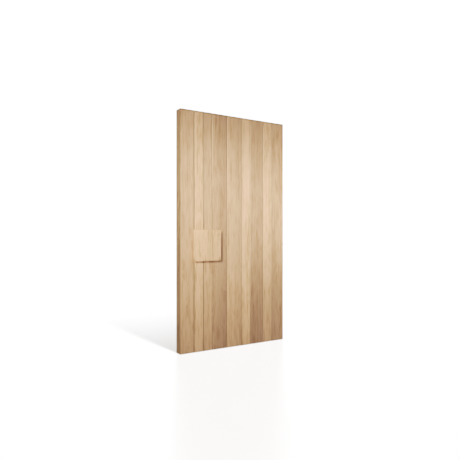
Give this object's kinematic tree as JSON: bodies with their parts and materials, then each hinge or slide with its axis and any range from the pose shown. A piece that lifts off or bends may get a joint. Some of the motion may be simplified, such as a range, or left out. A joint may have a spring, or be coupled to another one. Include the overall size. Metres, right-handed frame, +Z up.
{
  "type": "panelled front door",
  "caption": "Front door leaf of vertical V-jointed oak boards on an insulated core, with a square wooden pull on each face and butt hinges.",
  "frame": {"origin": "middle of the leaf's bottom edge, halfway through its thickness", "axes": "+X across the leaf towards the hinge side, -Y out of the outside face, +Z up the leaf"},
  "size_m": [1.1195, 0.148, 2.1],
  "materials": {
    "oak_boards": "matt oiled oak",
    "oak_edging": "matt oiled oak",
    "oak_pull": "matt oiled oak",
    "core_timber": "planed, bare",
    "plywood": "sanded, bare",
    "foam": "rigid foam",
    "mild_steel": "bright drawn",
    "hinge_steel": "satin stainless",
    "brass_insert": "machined"
  },
  "bodies": {
    "leaf": {"edging_bottom": "oak_edging", "edging_hinge_side": "oak_edging", "edging_pull_side": "oak_edging", "edging_top": "oak_edging", "flat_bar_hinge_inside": "mild_steel", "flat_bar_hinge_outside": "mild_steel", "flat_bar_pull_inside": "mild_steel", "flat_bar_pull_outside": "mild_steel", "frame_dowels": "core_timber", "hinge_bearings": "hinge_steel", "hinge_bottom_leaf_flap": "hinge_steel", "hinge_bottom_pin": "hinge_steel", "hinge_middle_leaf_flap": "hinge_steel", "hinge_middle_pin": "hinge_steel", "hinge_screws": "hinge_steel", "hinge_top_leaf_flap": "hinge_steel", "hinge_top_pin": "hinge_steel", "inside_board_1": "oak_boards", "inside_board_2": "oak_boards", "inside_board_3": "oak_boards", "inside_board_4": "oak_boards", "inside_board_5": "oak_boards", "inside_board_6": "oak_boards", "inside_board_7": "oak_boards", "inside_board_8": "oak_boards", "inside_board_9": "oak_boards", "insulation_lower": "foam", "insulation_upper": "foam", "outside_board_1": "oak_boards", "outside_board_2": "oak_boards", "outside_board_3": "oak_boards", "outside_board_4": "oak_boards", "outside_board_5": "oak_boards", "outside_board_6": "oak_boards", "outside_board_7": "oak_boards", "outside_board_8": "oak_boards", "outside_board_9": "oak_boards", "ply_inside": "plywood", "ply_outside": "plywood", "pull_bolts": "mild_steel", "pull_grub_screws": "mild_steel", "pull_inserts": "brass_insert", "pull_pegs": "mild_steel", "pull_screws": "mild_steel", "pull_slab_inside": "oak_pull", "pull_slab_outside": "oak_pull", "pull_spacer_inside": "oak_pull", "pull_spacer_outside": "oak_pull", "rail_bottom": "core_timber", "rail_pull": "core_timber", "rail_top": "core_timber", "stile_hinge_side": "core_timber", "stile_pull_side": "core_timber"},
    "top_frame_side": {"hinge_top_frame_flap": "hinge_steel"},
    "middle_frame_side": {"hinge_middle_frame_flap": "hinge_steel"},
    "bottom_frame_side": {"hinge_bottom_frame_flap": "hinge_steel"}
  },
  "joints": [
    {"name": "top_hinge", "type": "hinge", "parent": "leaf", "child": "top_frame_side", "pos_m": [0.5565, 0.049, 1.8865], "axis": [0, 0, 1], "range_deg": [0, 180]},
    {"name": "middle_hinge", "type": "hinge", "parent": "leaf", "child": "middle_frame_side", "pos_m": [0.5565, 0.049, 1.0875], "axis": [0, 0, 1], "range_deg": [0, 180]},
    {"name": "bottom_hinge", "type": "hinge", "parent": "leaf", "child": "bottom_frame_side", "pos_m": [0.5565, 0.049, 0.2885], "axis": [0, 0, 1], "range_deg": [0, 180]}
  ],
  "couplings": [
    {"joint": "middle_hinge", "follows": "top_hinge", "ratio": 1},
    {"joint": "bottom_hinge", "follows": "top_hinge", "ratio": 1}
  ]
}
